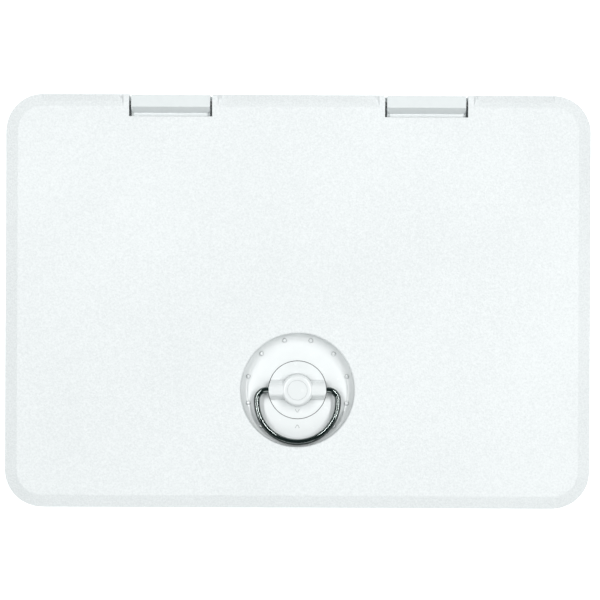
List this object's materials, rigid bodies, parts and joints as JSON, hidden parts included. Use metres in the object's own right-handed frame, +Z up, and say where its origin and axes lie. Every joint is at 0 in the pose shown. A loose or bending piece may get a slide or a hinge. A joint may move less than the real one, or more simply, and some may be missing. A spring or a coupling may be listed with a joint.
{
  "type": "deck hatch",
  "caption": "Rectangular boat deck hatch: bevelled lid hinged on a flanged frame with a coaming, shut by a flush quarter-turn latch with a folding wire bail.",
  "frame": {"origin": "centre of the deck cut-out, on the deck surface, which is the underside of the frame's flange", "axes": "+X along the hinge line, to the right seen from the latch side; +Y from the latch towards the hinges; +Z up out of the deck"},
  "size_m": [0.375, 0.265, 0.039],
  "materials": {
    "lid_plastic": "white UV-stable moulded plastic, fine all-over grain",
    "frame_plastic": "white moulded plastic, smooth semi-gloss",
    "latch_plastic": "white moulded plastic, smooth gloss",
    "bail_steel": "polished stainless wire",
    "pin_steel": "plain stainless, drawn",
    "fastener_steel": "stainless fasteners, as headed",
    "seal_rubber": "black moulded rubber, matt",
    "cam_plastic": "black glass-filled plastic",
    "washer_plastic": "natural acetal"
  },
  "bodies": {
    "frame": {"frame": "frame_plastic", "strike_plate": "fastener_steel", "strike_screws": "fastener_steel"},
    "lid": {"lid": "lid_plastic", "lid_seal": "seal_rubber", "hinge_pin_left": "pin_steel", "hinge_pin_right": "pin_steel", "latch_dish": "latch_plastic", "dish_gasket": "seal_rubber", "dish_screws": "fastener_steel"},
    "knob": {"latch_knob": "latch_plastic", "knob_cap": "latch_plastic", "knob_screw": "fastener_steel", "knob_washer": "washer_plastic", "spindle": "pin_steel", "spindle_o_ring": "seal_rubber", "spindle_circlip": "fastener_steel", "cam": "cam_plastic", "cam_washer": "fastener_steel", "cam_screw": "fastener_steel"},
    "bail": {"bail": "bail_steel"}
  },
  "joints": [
    {"name": "lid_hinge", "type": "hinge", "parent": "frame", "child": "lid", "pos_m": [0, 0.1268, 0.0105], "axis": [-1, 0, 0], "range_deg": [0, 110]},
    {"name": "latch_turn", "type": "hinge", "parent": "lid", "child": "knob", "pos_m": [0, -0.057, 0], "axis": [0, 0, -1], "range_deg": [0, 90]},
    {"name": "bail_pivot", "type": "hinge", "parent": "knob", "child": "bail", "pos_m": [0, -0.057, 0.012], "axis": [-1, 0, 0], "range_deg": [0, 180]}
  ]
}
